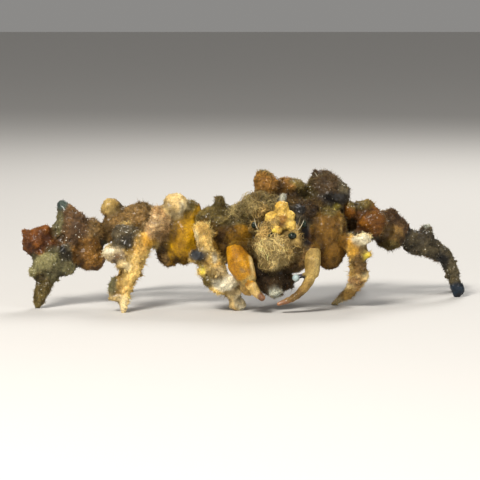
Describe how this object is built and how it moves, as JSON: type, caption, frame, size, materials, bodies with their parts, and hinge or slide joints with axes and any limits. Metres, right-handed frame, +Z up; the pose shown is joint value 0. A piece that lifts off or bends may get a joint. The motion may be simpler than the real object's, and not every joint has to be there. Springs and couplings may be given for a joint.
{
  "type": "spider decorator crab",
  "caption": "Long-legged crab standing on its toes, its shell and legs wrapped in sponges and weed; a life-size still model for display.",
  "frame": {"origin": "on the floor, under the middle of the crab's bounding box", "axes": "+Z up from the floor, the crab faces roughly -Y, and its own right side is towards -X"},
  "size_m": [0.1068, 0.0532, 0.0327],
  "materials": {
    "shell": "rough horny shell under short brown fuzz",
    "eye": "wet, glossy and nearly black with a green tint",
    "claw": "smooth golden yellow, a little waxy, with paler tips",
    "pale_limb": "pale, slightly see-through horn",
    "crusted_leg": "straw-yellow shell crusted with ochre and brown sponge",
    "sponge_red": "porous rust-red sponge with pale specks",
    "sponge_yellow": "fine-grained yellow sponge balls",
    "sponge_brown": "dark brown fuzzy sponge, soft at the edges",
    "weed": "dull straw-green curly weed"
  },
  "bodies": {
    "root": {"abdomen": "shell", "antenna_left": "pale_limb", "antenna_right": "pale_limb", "carapace": "shell", "claw_l_arm": "shell", "claw_l_finger": "claw", "claw_l_hand": "claw", "claw_r_arm": "shell", "claw_r_finger": "claw", "claw_r_hand": "claw", "eye_left": "eye", "eye_right": "eye", "eyestalk_left": "shell", "eyestalk_right": "shell", "growth_algae": "weed", "growth_chest": "sponge_brown", "growth_cone": "pale_limb", "growth_crown_left": "sponge_brown", "growth_crown_right": "sponge_red", "growth_face_side": "sponge_brown", "growth_forehead": "sponge_yellow", "growth_l1_skirt": "sponge_yellow", "growth_l2_lace": "weed", "growth_l2_rust": "sponge_red", "growth_r1_olive": "weed", "growth_r2_yellow": "sponge_yellow", "growth_r3_fuzz": "sponge_brown", "growth_r3_peak": "sponge_brown", "growth_r3_red": "sponge_red", "growth_ridge": "sponge_brown", "leg_l1_foot": "crusted_leg", "leg_l1_merus": "crusted_leg", "leg_l1_shank": "crusted_leg", "leg_l2_foot": "crusted_leg", "leg_l2_merus": "crusted_leg", "leg_l2_shank": "crusted_leg", "leg_l3_foot": "crusted_leg", "leg_l3_merus": "crusted_leg", "leg_l3_shank": "crusted_leg", "leg_l4_foot": "crusted_leg", "leg_l4_merus": "crusted_leg", "leg_l4_shank": "crusted_leg", "leg_r1_foot": "crusted_leg", "leg_r1_merus": "crusted_leg", "leg_r1_shank": "crusted_leg", "leg_r2_foot": "crusted_leg", "leg_r2_merus": "crusted_leg", "leg_r2_shank": "crusted_leg", "leg_r3_foot": "crusted_leg", "leg_r3_merus": "crusted_leg", "leg_r3_shank": "crusted_leg", "leg_r4_foot": "crusted_leg", "leg_r4_merus": "crusted_leg", "leg_r4_shank": "crusted_leg", "maxilliped_left": "shell", "maxilliped_right": "shell", "rostrum": "shell", "thorax": "shell"}
  },
  "joints": []
}
